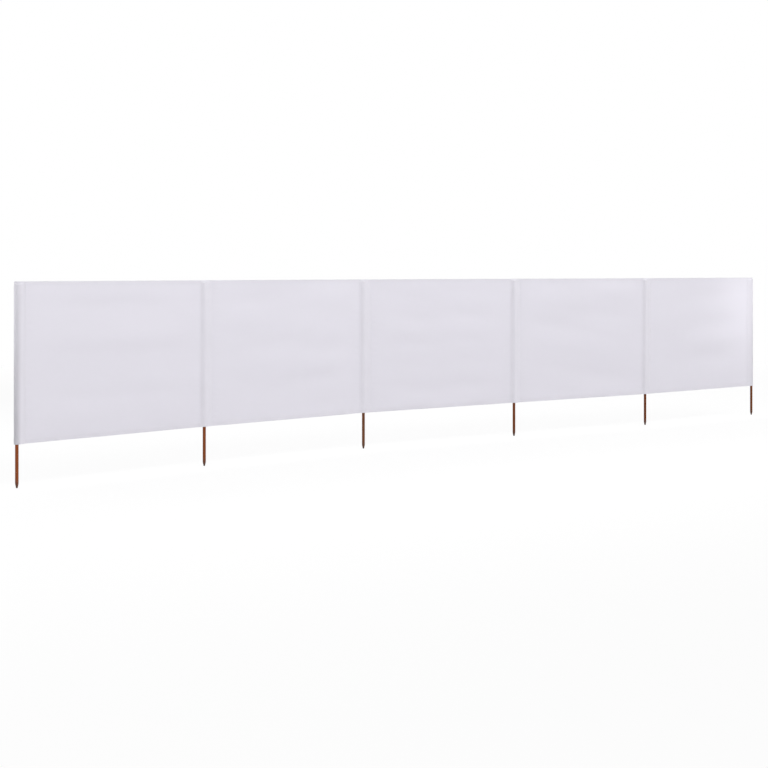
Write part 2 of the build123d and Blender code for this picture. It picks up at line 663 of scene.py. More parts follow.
def slab_of(grid: np.ndarray, first: int) -> tuple[np.ndarray, Faces]:
    """Gives a grid of points the cloth's thickness.

    Args:
        grid: Points on the middle of the cloth, as (rows, columns, 3).
        first: The number that its first vertex has in the whole mesh.

    Returns:
        The vertices and faces of a closed thin slab.
    """
    rows, columns, _ = grid.shape
    half = grid_normals(grid) * (CLOTH_THICKNESS / 2)
    vertices = np.concatenate([(grid + half).reshape(-1, 3), (grid - half).reshape(-1, 3)])
    front = np.arange(rows * columns).reshape(rows, columns) + first
    back = front + rows * columns
    faces = [quads_of(front), quads_of(back)[:, [0, 3, 2, 1]]]
    for over, under in (
        (front[0], back[0]),
        (front[-1][::-1], back[-1][::-1]),
        (front[:, 0][::-1], back[:, 0][::-1]),
        (front[:, -1], back[:, -1]),
    ):
        faces.append(np.stack([under[:-1], under[1:], over[1:], over[:-1]], axis=-1))
    return vertices, as_faces(np.concatenate(faces))


def join_slabs(parts: list[tuple[np.ndarray, np.ndarray]]) -> tuple[np.ndarray, Faces, np.ndarray]:
    """Makes one mesh of several grids of cloth.

    Args:
        parts: The grids' points and their lengths on the cloth.

    Returns:
        The vertices, the faces and the cloth's lengths at each vertex.
    """
    vertices, faces, uvs, first = [], [], [], 0
    for grid, lengths in parts:
        some, sides = slab_of(grid, first)
        vertices.append(some)
        faces.extend(sides)
        uvs.append(np.tile(lengths.reshape(-1, 2), (2, 1)))
        first += len(some)
    return np.concatenate(vertices), faces, np.concatenate(uvs)


def strip_lengths(grid: np.ndarray, columns: np.ndarray) -> np.ndarray:
    """The cloth's own lengths over a folded strip.

    Args:
        grid: The strip's points, as (rows, columns, 3).
        columns: The lengths along the row of its columns.

    Returns:
        The lengths along and up the cloth, as (rows, columns, 2).
    """
    steps = np.linalg.norm(np.diff(grid[:, 0], axis=0), axis=1)
    along, up = np.meshgrid(columns, np.concatenate([[0.0], np.cumsum(steps)]))
    return np.stack([along, up], axis=-1)


def tube_faces(rings: int, sides: int) -> tuple[np.ndarray, np.ndarray]:
    """The faces of a closed tube, whose vertices are numbered ring by ring.

    Args:
        rings: How many rings it has.
        sides: How many vertices a ring has.

    Returns:
        The faces round it, and the first and the last ring as its two ends.
    """
    numbers = np.arange(rings * sides).reshape(rings, sides)
    after = np.roll(numbers, -1, axis=1)
    around = np.stack([numbers[:-1], after[:-1], after[1:], numbers[1:]], axis=-1).reshape(-1, 4)
    return around, np.stack([numbers[0][::-1], numbers[-1]])


def stepped(start: float, *stretches: tuple[float, int]) -> np.ndarray:
    """Places along a line, in stretches of even steps.

    Args:
        start: The first place.
        *stretches: Where each stretch ends, and how many steps it has.

    Returns:
        The places, in order.
    """
    places = [np.array([start])]
    for end, steps in stretches:
        places.append(np.linspace(start, end, steps + 1)[1:])
        start = end
    return np.concatenate(places)


@dataclass(frozen=True)
class Grading:
    """Places along a line, close together at both ends and wider apart between."""

    edge_step: float
    middle_step: float
    edge_width: float

    def places(self, start: float, end: float) -> np.ndarray:
        """Places between two ends.

        Args:
            start: The first place.
            end: The last place.

        Returns:
            The places, in order.
        """
        near, far = start + self.edge_width, end - self.edge_width
        edge_steps = round(self.edge_width / self.edge_step)
        middle_steps = round((far - near) / self.middle_step)
        return stepped(start, (near, edge_steps), (far, middle_steps), (end, edge_steps))


def spline_weights(at: np.ndarray, count: int) -> tuple[np.ndarray, np.ndarray]:
    """Neighbours and weights that draw a smooth curve through evenly spaced values.

    Args:
        at: Places, from 0 to count - 1.
        count: How many values there are.

    Returns:
        Four neighbour numbers and four weights for each place.
    """
    base = np.clip(np.floor(at).astype(int), 0, count - 2)
    t = at - base
    neighbours = np.clip(base[:, None] + np.arange(-1, 3), 0, count - 1)
    parts = [-(t**3) + 2 * t**2 - t, 3 * t**3 - 5 * t**2 + 2, -3 * t**3 + 4 * t**2 + t, t**3 - t**2]
    return neighbours, 0.5 * np.stack(parts, axis=1)


def read_smoothly(values: np.ndarray, row_place: np.ndarray, column_place: np.ndarray) -> np.ndarray:
    """Reads a coarse grid smoothly at any points.

    Args:
        values: The coarse grid, as (rows, columns, parts).
        row_place: Each point's place along the rows, from 0 to 1.
        column_place: Each point's place along the columns, from 0 to 1.

    Returns:
        The values at the points, in the same shape with the parts last.
    """
    rows, columns, parts = values.shape
    row_place, column_place = np.broadcast_arrays(row_place, column_place)
    near_rows, row_share = spline_weights(row_place.ravel() * (rows - 1), rows)
    near_columns, column_share = spline_weights(column_place.ravel() * (columns - 1), columns)
    picked = values[near_rows[:, :, None], near_columns[:, None, :]]
    read = np.einsum("nrcp,nr,nc->np", picked, row_share, column_share)
    return read.reshape(*row_place.shape, parts)


def smooth_step(value: np.ndarray, low: float, high: float) -> np.ndarray:
    """Rises smoothly from 0 at low to 1 at high."""
    t = np.clip((value - low) / (high - low), 0.0, 1.0)
    return t * t * (3 - 2 * t)


def eased(places: tuple[float, ...], values: tuple[float, ...], at: np.ndarray) -> np.ndarray:
    """Draws a smooth curve through a few points without overshooting them.

    Args:
        places: The points' places, in rising order.
        values: The points' values.
        at: Where to read the curve.

    Returns:
        The curve's values, held level past both ends.
    """
    x, y = np.array(places), np.array(values)
    rise = np.diff(y) / np.diff(x)
    slope = np.zeros_like(y)
    same = rise[:-1] * rise[1:] > 0
    slope[1:-1][same] = 2 * (rise[:-1] * rise[1:])[same] / (rise[:-1] + rise[1:])[same]
    at = np.clip(at, x[0], x[-1])
    span = np.clip(np.searchsorted(x, at, side="right") - 1, 0, len(x) - 2)
    width = x[span + 1] - x[span]
    t = (at - x[span]) / width
    first = (1 + 2 * t) * (1 - t) ** 2 * y[span] + t * (1 - t) ** 2 * width * slope[span]
    second = t * t * (3 - 2 * t) * y[span + 1] + t * t * (t - 1) * width * slope[span + 1]
    return first + second


@dataclass(frozen=True)
class Ripples:
    """A few long soft waves with seeded directions, for cloth that never lies quite flat."""

    shortest: float
    longest: float
    count: int
    lean: float
    first_seed: int = 0

    def height(self, number: int, along: np.ndarray, up: np.ndarray) -> np.ndarray:
        """Height of the waves, about -1 to 1.

        Args:
            number: Which piece of cloth or wood it is, so that no two are alike.
            along: Distance along the cloth.
            up: Height on the cloth.

        Returns:
            The height at each point.
        """
        draw = np.random.default_rng(self.first_seed + number)
        total = np.zeros(np.broadcast(along, up).shape)
        for _ in range(self.count):
            length = draw.uniform(self.shortest, self.longest)
            angle = draw.normal(0.0, self.lean)
            phase = draw.uniform(0.0, math.tau)
            way = along * math.cos(angle) + up * math.sin(angle)
            total = total + np.sin(math.tau * way / length + phase)
        return total / math.sqrt(self.count)


# --------------------------------------------------------------------------- the row


@dataclass(frozen=True)
class Bay:
    """The straight line of one bay, from a post to the next."""

    number: int
    start: Pair
    along: Pair
    length: float

    @property
    def back(self) -> Pair:
        """The level direction that points behind the bay."""
        return (-self.along[1], self.along[0])

    def place(self, across: np.ndarray, out: np.ndarray, up: np.ndarray) -> np.ndarray:
        """Turns the bay's own lengths into points in the row's frame.

        Args:
            across: Distances from the bay's first post.
            out: Distances behind the bay's middle plane.
            up: Heights.

        Returns:
            The points, with x, y and z last.
        """
        across, out, up = np.broadcast_arrays(across, out, up)
        x = self.start[0] + across * self.along[0] + out * self.back[0]
        y = self.start[1] + across * self.along[1] + out * self.back[1]
        return np.stack([x, y, up], axis=-1)


@dataclass(frozen=True)
class RowPlan:
    """Where the posts, bays and seams stand."""

    posts: list[Pair]
    bays: list[Bay]
    pole_top: float
    pole_radius: float
    cloth_bottom: float
    cloth_top: float
    end_reach: float = 0.045
    near_reach: float = 0.024
    far_reach: float = 0.052
    seam_width: float = 0.008

    @classmethod
    def from_frame(cls, frame: dict) -> RowPlan:
        """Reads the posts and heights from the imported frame.


        Returns:
            The row's plan.
        """
        count = sum(1 for name in frame["nodes"] if name.startswith("pole_"))
        posts = []
        for number in range(1, count + 1):
            low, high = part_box(f"pole_{number}")
            posts.append(((low[0] + high[0]) / 2, (low[1] + high[1]) / 2))
        bays = []
        for number, (here, there) in enumerate(zip(posts, posts[1:]), start=1):
            length = math.dist(here, there)
            along = ((there[0] - here[0]) / length, (there[1] - here[1]) / length)
            bays.append(Bay(number, here, along, length))
        pole_low, pole_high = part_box("pole_1")
        cloth_low, cloth_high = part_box("panel_1")
        return cls(
            posts=posts,
            bays=bays,
            pole_top=pole_high[2],
            pole_radius=(pole_high[0] - pole_low[0]) / 2,
            cloth_bottom=cloth_low[2],
            cloth_top=cloth_high[2],
        )

    @property
    def cloth_width(self) -> float:
        """The cloth's upright width."""
        return self.cloth_top - self.cloth_bottom

    @property
    def last(self) -> int:
        """The last post's number, counted from 0."""
        return len(self.posts) - 1

    def reach_before(self, post: int) -> float:
        """How far a post's sleeve reaches to its left.

        Args:
            post: The post, counted from 0.

        Returns:
            The distance to the side seam, or 0 at the first post.
        """
        if post == 0:
            return 0.0
        return self.end_reach if post == self.last else self.near_reach

    def reach_after(self, post: int) -> float:
        """How far a post's sleeve reaches to its right.

        Args:
            post: The post, counted from 0.

        Returns:
            The distance to the side seam, or 0 at the last post.
        """
        if post == self.last:
            return 0.0
        return self.end_reach if post == 0 else self.far_reach


class ClothFace:
    """A cloth surface that can be read anywhere by its own two lengths."""

    reading_step = 0.4 * MILLIMETRE
    least_length = 1e-12

    def points(self, across: np.ndarray, up: np.ndarray) -> np.ndarray:
        """Points on the middle of the cloth.

        Args:
            across: Lengths along the row.
            up: Heights.

        Returns:
            The points, with x, y and z last.
        """
        raise NotImplementedError

    def normals(self, across: np.ndarray, up: np.ndarray) -> np.ndarray:
        """Unit normals, which point to the front where the lengths run right and up.

        Args:
            across: Lengths along the row.
            up: Heights.

        Returns:
            The normals, with x, y and z last.
        """
        step = self.reading_step
        run = self.points(across + step, up) - self.points(across - step, up)
        rise = self.points(across, up + step) - self.points(across, up - step)
        normals = np.cross(run, rise)
        return normals / np.maximum(np.linalg.norm(normals, axis=-1, keepdims=True), self.least_length)


class Edge(Enum):
    """Which edge of the cloth a hem is turned on."""

    TOP = "top"
    BOTTOM = "bottom"


@dataclass(frozen=True)
class Turning:
    """A hem: the cloth's edge folded over once and sewn down."""

    width: float = 0.020
    fold_radius: float = 0.0005
    rows: int = 8
    fold_rows: int = 7

    @property
    def back(self) -> float:
        """How far the turned strip lies from the cloth."""
        return 2 * self.fold_radius

    def grid(
        self, face: ClothFace, edge: Edge, height: float, across: np.ndarray, side: float
    ) -> np.ndarray:
        """Points of the folded strip, from the cloth's edge round the fold and along its back.

        Args:
            face: The cloth that is hemmed.
            edge: Which edge it is.
            height: The edge's height.
            across: The lengths along the row of the strip's columns.
            side: 1 for a strip on the side that the normals point to, -1 for the other.

        Returns:
            The strip's points, as (rows, columns, 3).
        """
        inward = -1.0 if edge is Edge.TOP else 1.0
        turns = np.linspace(0.0, math.pi, self.fold_rows)
        strip = np.linspace(self.fold_radius, self.width, self.rows + 1)[1:]
        behind = np.full(self.rows, self.back)
        in_from_edge = np.concatenate([self.fold_radius * (1 - np.sin(turns)), strip])
        off_cloth = np.concatenate([self.fold_radius * (1 - np.cos(turns)), behind])
        along, heights = np.meshgrid(across, height + inward * in_from_edge)
        offsets = off_cloth[:, None, None] * side
        return face.points(along, heights) + face.normals(along, heights) * offsets


# --------------------------------------------------------------------------- the bays


@dataclass(frozen=True)
class Drape:
    """Hangs a bay's cloth between its two seams by cloth simulation."""

    spacing: float = 0.022
    frames: int = 50
    drawn_in_by: int = 10
    quality: int = 6
    slack: float = 0.00012
    vertex_mass: float = 0.004
    stretch: float = 120.0
    compression_share: float = 0.4
    shear_share: float = 0.5
    bending: float = 4.0
    air_damping: float = 2.0
    stretch_damping: float = 10.0
    bending_damping: float = 1.0
    folds: Ripples = Ripples(0.11, 0.42, 6, 0.10)
    fold_depth: float = 0.0047
    fold_fullness: float = 1.6
    pulls: Ripples = Ripples(0.18, 0.7, 5, 0.0, first_seed=50)
    pull: float = 0.0003
    most: float = 0.008
    soften_along: int = 26
    soften_up: int = 3
    pin_margin: float = 1e-6

    def settle(self, width: float, height: float, bay: int) -> np.ndarray:
        """Finds how the cloth moves off its flat plane.

        Args:
            width: The width between the seams.
            height: The cloth's upright width.
            bay: The bay's number.

        Returns:
            The shift along, out and up at each point, as (rows, columns, 3), lowest row first.
        """
        columns = round(width / self.spacing) + 1
        rows = round(height / self.spacing) + 1
        along, up = np.meshgrid(np.linspace(0, width, columns), np.linspace(0, height, rows))
        edge = np.minimum(1.0, self.fold_fullness * np.sin(np.pi * along / width))
        start = self.folds.height(bay, up, -along) * self.fold_depth * edge
        level = np.zeros_like(start)
        pinned = (along < self.pin_margin) | (along > width - self.pin_margin)
        drawn = np.abs(self.pulls.height(bay, up, level))
        side = np.where(along < width / 2, 1.0, -1.0)
        flat = np.stack([along, start, up], axis=-1)
        drawn_in = flat.copy()
        drawn_in[..., 0] += np.where(pinned, drawn * self.pull * side, 0.0)
        settled = self._run(self._cloth(flat, pinned, f"drape_{bay}"), drawn_in)
        shift = settled.reshape(rows, columns, 3) - np.stack([along, level, up], axis=-1)
        shift[..., 0] *= np.where(pinned, 0.0, 1.0)
        return np.clip(self._soften(shift), -self.most, self.most)

    def _soften(self, shift: np.ndarray) -> np.ndarray:
        """Evens out what is finer than the real cloth's folds, most of all along the pull.

        Args:
            shift: The shift at each point, as (rows, columns, 3).

        Returns:
            The softened shift, with the seams left where they are.
        """
        for _ in range(self.soften_along):
            inner = (shift[:, :-2] + 2 * shift[:, 1:-1] + shift[:, 2:]) / 4
            shift = np.concatenate([shift[:, :1], inner, shift[:, -1:]], axis=1)
        for _ in range(self.soften_up):
            padded = np.concatenate([shift[:1], shift, shift[-1:]])
            shift = (padded[:-2] + 2 * padded[1:-1] + padded[2:]) / 4
        return shift

    def _cloth(self, flat: np.ndarray, pinned: np.ndarray, name: str) -> bpy.types.Object:
        """Makes the sheet that is simulated.

        Args:
            flat: The sheet's points, as (rows, columns, 3).
            pinned: Which points the seams hold.
            name: The sheet's name.

        Returns:
            The sheet, with its cloth modifier.
        """
        rows, columns, _ = flat.shape
        numbers = np.arange(rows * columns).reshape(rows, columns)
        mesh = bpy.data.meshes.new(name)
        mesh.from_pydata(flat.reshape(-1, 3).tolist(), [], quads_of(numbers).tolist())
        sheet = bpy.data.objects.new(name, mesh)
        bpy.context.scene.collection.objects.link(sheet)
        held = sheet.vertex_groups.new(name="seams")
        held.add(numbers[pinned].tolist(), 1.0, "REPLACE")
        cloth = sheet.modifiers.new("cloth", "CLOTH")
        settings = cloth.settings
        settings.quality = self.quality
        settings.mass = self.vertex_mass
        settings.air_damping = self.air_damping
        settings.tension_stiffness = self.stretch
        settings.compression_stiffness = self.stretch * self.compression_share
        settings.shear_stiffness = self.stretch * self.shear_share
        settings.bending_stiffness = self.bending
        settings.tension_damping = self.stretch_damping
        settings.compression_damping = self.stretch_damping
        settings.shear_damping = self.stretch_damping
        settings.bending_damping = self.bending_damping
        settings.shrink_min = -self.slack
        settings.vertex_group_mass = held.name
        settings.pin_stiffness = 1.0
        cloth.collision_settings.use_collision = False
        cloth.point_cache.frame_start = 1
        cloth.point_cache.frame_end = self.frames
        return sheet

    def _run(self, sheet: bpy.types.Object, drawn_in: np.ndarray) -> np.ndarray:
        """Steps the simulation, and clears it away.

        Args:
            sheet: The sheet with its cloth modifier.
            drawn_in: Where the seams end, after they draw in a little.

        Returns:
            The settled points, one row each.
        """
        scene = bpy.context.scene
        first = sheet.shape_key_add(name="flat")
        last = sheet.shape_key_add(name="drawn in")
        first.interpolation = last.interpolation = "KEY_LINEAR"
        last.data.foreach_set("co", drawn_in.astype(np.float32).ravel())
        for frame, share in ((1, 0.0), (self.drawn_in_by, 1.0)):
            last.value = share
            last.keyframe_insert("value", frame=frame)
        for frame in range(1, self.frames + 1):
            scene.frame_set(frame)
        graph = bpy.context.evaluated_depsgraph_get()
        result = sheet.evaluated_get(graph).data
        points = np.empty(len(result.vertices) * 3, dtype=np.float32)
        result.vertices.foreach_get("co", points)
        mesh = sheet.data
        bpy.data.objects.remove(sheet)
        bpy.data.meshes.remove(mesh)
        scene.frame_set(1)
        return points.reshape(-1, 3).astype(float)


@dataclass
class BayFace(ClothFace):
    """The single layer of cloth between two sleeves."""

    bay: Bay
    plan: RowPlan
    drape: Drape = Drape()
    gathers: Ripples = Ripples(0.016, 0.045, 6, 0.25)
    gather_depth: float = 0.00036
    gather_reach: float = 0.012
    gather_fan: float = 0.5
    edge_ripples: Ripples = Ripples(0.05, 0.14, 6, 0.5, first_seed=5)
    edge_ripple_depth: float = 0.0005
    edge_ripple_fade: float = 0.035
    edge_ripple_start: Pair = (0.008, 0.05)

    def __post_init__(self) -> None:
        """Settles the cloth between its seams."""
        self.left = self.plan.reach_after(self.bay.number - 1)
        self.right = self.bay.length - self.plan.reach_before(self.bay.number)
        self.shift = self.drape.settle(self.right - self.left, self.plan.cloth_width, self.bay.number)

    def between_seams(self, past: float) -> Pair:
        """The two ends of the cloth between its seams, each brought in by a further distance."""
        return self.left + self.plan.seam_width + past, self.right - self.plan.seam_width - past

    def points(self, across: np.ndarray, up: np.ndarray) -> np.ndarray:
        """Points on the middle of the bay's cloth.

        Args:
            across: Distances from the bay's first post.
            up: Heights.

        Returns:
            The points, with x, y and z last.
        """
        shift = read_smoothly(
            self.shift,
            np.clip((up - self.plan.cloth_bottom) / self.plan.cloth_width, 0, 1),
            np.clip((across - self.left) / (self.right - self.left), 0, 1),
        )
        out = shift[..., 1] + self._gathers(across, up) + self._edge_ripples(across, up)
        return self.bay.place(across + shift[..., 0], out, up + shift[..., 2])

    def _gathers(self, across: np.ndarray, up: np.ndarray) -> np.ndarray:
        """Small gathers that fan out from the two seams.

        Args:
            across: Distances from the bay's first post.
            up: Heights.

        Returns:
            How far the cloth moves back at each point.
        """
        total = np.zeros(np.broadcast(across, up).shape)
        for side, (seam, way) in enumerate(zip(self.between_seams(0.0), (1, -1))):
            away = np.maximum((across - seam) * way, 0.0)
            share = away / self.gather_reach
            waves = self.gathers.height(10 * self.bay.number + side, up, self.gather_fan * away)
            total = total + waves * share * np.exp(1.0 - share)
        return total * self.gather_depth

    def _edge_ripples(self, across: np.ndarray, up: np.ndarray) -> np.ndarray:
        """Soft ripples that the hems' stitching draws up.

        Args:
            across: Distances from the bay's first post.
            up: Heights.

        Returns:
            How far the cloth moves back at each point.
        """
        start, full = self.edge_ripple_start
        total = np.zeros(np.broadcast(across, up).shape)
        free = smooth_step(across, self.left + start, self.left + full)
        free = free * (1 - smooth_step(across, self.right - full, self.right - start))
        for side, edge in enumerate((self.plan.cloth_bottom, self.plan.cloth_top)):
            away = np.abs(up - edge)
            waves = self.edge_ripples.height(10 * self.bay.number + side, across, away)
            total = total + waves * np.exp(-away / self.edge_ripple_fade)
        return total * self.edge_ripple_depth * free


@dataclass
class BayCloth:
    """One bay: its sheet of cloth and the hems along its top and bottom."""

    face: BayFace
    cloth: bpy.types.Material
    hem_cloth: bpy.types.Material
    tuck: float = 0.0055
    hem: Turning = Turning()
    hem_gap: float = 0.0003
    columns: Grading = Grading(0.0035, 0.0135, 0.049)
    rows: Grading = Grading(0.0036, 0.0075, 0.072)

    def build(self) -> list[bpy.types.Object]:
        """Returns:
            The bay's sheet and its two hems.
        """
        face, plan = self.face, self.face.plan
        number = face.bay.number
        left, right = face.between_seams(-self.tuck)
        across = self.columns.places(left, right)
        low, high = plan.cloth_bottom + self.hem.fold_radius, plan.cloth_top - self.hem.fold_radius
        along, heights = np.meshgrid(across, self.rows.places(low, high))
        parts = [(face.points(along, heights), np.stack([along, heights], axis=-1))]
        sheet = make_object(f"field_{number}", *join_slabs(parts), self.cloth)
        declare(sheet, "panel_cloth", f"panel_{number}")
        hems = [self._hem(edge) for edge in Edge]
        return [sheet, *hems]

    def _hem(self, edge: Edge) -> bpy.types.Object:
        """Builds one hem's folded strip, on the back of the cloth.

        Args:
            edge: Which edge it is.

        Returns:
            The hem.
        """
        face, plan = self.face, self.face.plan
        number = face.bay.number
        height = plan.cloth_top if edge is Edge.TOP else plan.cloth_bottom
        across = self.columns.places(*face.between_seams(self.hem_gap))
        grid = self.hem.grid(face, edge, height, across, side=-1.0)
        parts = [(grid, strip_lengths(grid, across))]
        piece = make_object(f"hem_{edge.value}_{number}", *join_slabs(parts), self.hem_cloth)
        return declare(piece, "hem_cloth", f"{edge.value}_hem_{number}")


# --------------------------------------------------------------------------- the sleeves


@dataclass(frozen=True)
class Fall:
    """A curve of a layer's bulge: shares of a full one at distances from the pole or below the ridge."""

    distances: tuple[float, ...]
    shares: tuple[float, ...]

    def at(self, away: np.ndarray) -> np.ndarray:
        """The share at each distance."""
        return eased(self.distances, self.shares, away)


@dataclass(frozen=True)
class LayerForm:
    """One layer's fall towards each kind of seam, and its rise below the ridge over the pole's top."""

    far: Fall
    near: Fall
    end: Fall
    crown: Fall


class Layer(Enum):
    """Which layer of a sleeve it is, with its form: the front is drawn taut, the back stands round."""

    FRONT = LayerForm(
        far=Fall(
            (0.0, 0.004, 0.008, 0.012, 0.016, 0.020, 0.026, 0.034, 0.043, 0.052),
            (0.70, 0.68, 0.615, 0.50, 0.375, 0.27, 0.155, 0.07, 0.02, 0.0),
        ),
        near=Fall(
            (0.0, 0.004, 0.008, 0.012, 0.016, 0.020, 0.0225, 0.024),
            (0.70, 0.675, 0.60, 0.46, 0.29, 0.125, 0.03, 0.0),
        ),
        end=Fall(
            (0.0, 0.006, 0.014, 0.024, 0.034, 0.041, 0.045),
            (0.72, 0.67, 0.545, 0.36, 0.165, 0.045, 0.0),
        ),
        crown=Fall(
            (0.0, 0.0048, 0.0090, 0.0132, 0.0152, 0.018, 0.022, 0.8),
            (0.0, 0.0, 0.44, 0.895, 0.97, 0.99, 1.0, 1.0),
        ),
    )
    BACK = LayerForm(
        far=Fall(
            (0.0, 0.004, 0.008, 0.011, 0.014, 0.018, 0.024, 0.032, 0.042, 0.052),
            (1.0, 0.958, 0.825, 0.65, 0.46, 0.27, 0.135, 0.065, 0.025, 0.0),
        ),
        near=Fall(
            (0.0, 0.004, 0.008, 0.011, 0.014, 0.017, 0.020, 0.0225, 0.024),
            (1.0, 0.956, 0.81, 0.63, 0.425, 0.245, 0.11, 0.03, 0.0),
        ),
        end=Fall(
            (0.0, 0.004, 0.008, 0.011, 0.014, 0.018, 0.024, 0.030, 0.037, 0.045),
            (1.0, 0.958, 0.825, 0.65, 0.46, 0.27, 0.135, 0.065, 0.025, 0.0),
        ),
        crown=Fall(
            (0.0, 0.0048, 0.0090, 0.0132, 0.0152, 0.018, 0.022, 0.029, 0.045, 0.8),
            (0.0, 0.0, 0.30, 0.655, 0.77, 0.86, 0.94, 0.985, 1.0, 1.0),
        ),
    )


@dataclass
class SleeveShape:
    """How a sleeve's two layers stand off the row's middle line."""

    plan: RowPlan
    post: int
    bulge: float = 0.0142
    bend_ease: float = 0.005
    layer: float = 0.00045
    mouth_layer: float = 0.0008
    mouth_rise: Pair = (0.018, 0.030)
    waver: Ripples = Ripples(0.12, 0.5, 5, 0.0, first_seed=70)
    waver_share: float = 0.018
    waver_drop: Pair = (0.020, 0.070)
    sway: Ripples = Ripples(0.10, 0.42, 6, 0.12, first_seed=30)
    sway_depth: float = 0.0011
    end_sway_share: float = 0.3
    crumples: Ripples = Ripples(0.030, 0.075, 5, 0.5, first_seed=40)
    crumple_depth: float = 0.0005
    crumple_share: float = 0.35
    crumple_fades: Pair = (0.06, 0.05)
    drift_drop: Pair = (0.014, 0.060)
    drift_eases: Pair = (0.014, 0.018)
    back_room: float = 0.0006

    def __post_init__(self) -> None:
        """Finds the directions of the row on both sides of the post."""
        bays = self.plan.bays
        before = np.array(bays[max(self.post - 1, 0)].along)
        after = np.array(bays[min(self.post, len(bays) - 1)].along)
        self.before = self.plan.reach_before(self.post)
        self.after = self.plan.reach_after(self.post)
        self.middle = (before + after) / 2
        self.bend = (after - before) / 2

    @property
    def at_end(self) -> bool:
        """Whether the post is the first or the last."""
        return self.post in (0, self.plan.last)

    def place(self, across: np.ndarray, out: np.ndarray, up: np.ndarray) -> np.ndarray:
        """Turns lengths from the post's axis into points in the row's frame.

        Args:
            across: Distances along the row, right of the post.
            out: Distances behind the row's middle line.
            up: Heights.

        Returns:
            The points, with x, y and z last.
        """
        across, out, up = np.broadcast_arrays(across, out, up)
        root = np.sqrt(across**2 + self.bend_ease**2)
        line = across[..., None] * self.middle + root[..., None] * self.bend
        way = self.middle + (across / root)[..., None] * self.bend
        way = way / np.linalg.norm(way, axis=-1, keepdims=True)
        x = self.plan.posts[self.post][0] + line[..., 0] - out * way[..., 1]
        y = self.plan.posts[self.post][1] + line[..., 1] + out * way[..., 0]
        return np.stack([x, y, up], axis=-1)

    def spread(self, across: np.ndarray, up: np.ndarray, layer: Layer) -> np.ndarray:
        """How far a layer stands off the row's middle line.

        Args:
            across: Distances right of the post's axis.
            up: Heights.
            layer: Which layer it is.

        Returns:
            The distance at each point.
        """
        away, form = np.abs(across), layer.value
        if self.at_end:
            share = form.end.at(away)
        else:
            share = np.where(across >= 0, form.far.at(away), form.near.at(away))
        rise, drop = up - self.plan.cloth_bottom, self.plan.cloth_top - up
        base = self.layer + (self.mouth_layer - self.layer) * (1 - smooth_step(rise, *self.mouth_rise))
        waves = smooth_step(drop, *self.waver_drop) * self.waver.height(self.post, up, np.zeros_like(up))
        full = (self.bulge - self.layer) * share * form.crown.at(drop)
        return base + full * (1.0 + self.waver_share * waves)

    def drift(self, across: np.ndarray, up: np.ndarray) -> np.ndarray:
        """How far both layers lie behind the middle line together.

        Args:
            across: Distances right of the post's axis.
            up: Heights.

        Returns:
            The shift at each point.
        """
        rise, drop = up - self.plan.cloth_bottom, self.plan.cloth_top - up
        free = smooth_step(drop, *self.drift_drop)
        if self.before:
            free = free * smooth_step(across, -self.before, self.drift_eases[0] - self.before)
        if self.after:
            free = free * (1 - smooth_step(across, self.after - self.drift_eases[1], self.after))
        sway = self.sway.height(self.post, up, across) * self.sway_depth
        sway = sway * (self.end_sway_share if self.at_end else 1.0)
        near_ends = np.exp(-drop / self.crumple_fades[0]) + np.exp(-rise / self.crumple_fades[1])
        crumples = self.crumples.height(self.post, up, across) * self.crumple_depth
        moved = free * (sway + crumples * (self.crumple_share + near_ends))
        return np.where(moved > 0, self.back_room * np.tanh(moved / self.back_room), moved)


@dataclass
class FlapFace(ClothFace):
    """One layer of a sleeve on an inner post, by the distance right of the post and the height."""

    shape: SleeveShape
    layer: Layer

    def points(self, across: np.ndarray, up: np.ndarray) -> np.ndarray:
        """Points on the middle of the layer's cloth.

        Args:
            across: Distances right of the post's axis.
            up: Heights.

        Returns:
            The points, with x, y and z last.
        """
        way = -1.0 if self.layer is Layer.FRONT else 1.0
        out = way * self.shape.spread(across, up, self.layer) + self.shape.drift(across, up)
        return self.shape.place(across, out, up)


@dataclass
class LoopFace(ClothFace):
    """The one layer that goes round an end post, by the length from its outer line and the height."""

    shape: SleeveShape

    @property
    def quarter(self) -> float:
        """The cloth's length from the outer line to the front or back of the pole."""
        return math.pi / 2 * self.shape.bulge

    @property
    def outward(self) -> float:
        """-1 where the cloth's outer line is left of the post, 1 where it is right."""
        return -1.0 if self.shape.post == 0 else 1.0

    def points(self, across: np.ndarray, up: np.ndarray) -> np.ndarray:
        """Points on the middle of the loop's cloth.

        Args:
            across: Lengths from the outer line.
            up: Heights.

        Returns:
            The points, with x, y and z last.
        """
        across, up = np.broadcast_arrays(across, up)
        round_pole = np.minimum(np.abs(across), self.quarter) / self.shape.bulge
        tail = np.maximum(np.abs(across) - self.quarter, 0.0)
        inside = -self.outward * tail
        out = np.where(
            across * self.outward < 0,
            -self.shape.spread(inside, up, Layer.FRONT),
            self.shape.spread(inside, up, Layer.BACK),
        )
        along = self.outward * (self.shape.bulge * np.cos(round_pole) - tail)
        return self.shape.place(along, out * np.sin(round_pole) + self.shape.drift(inside, up), up)


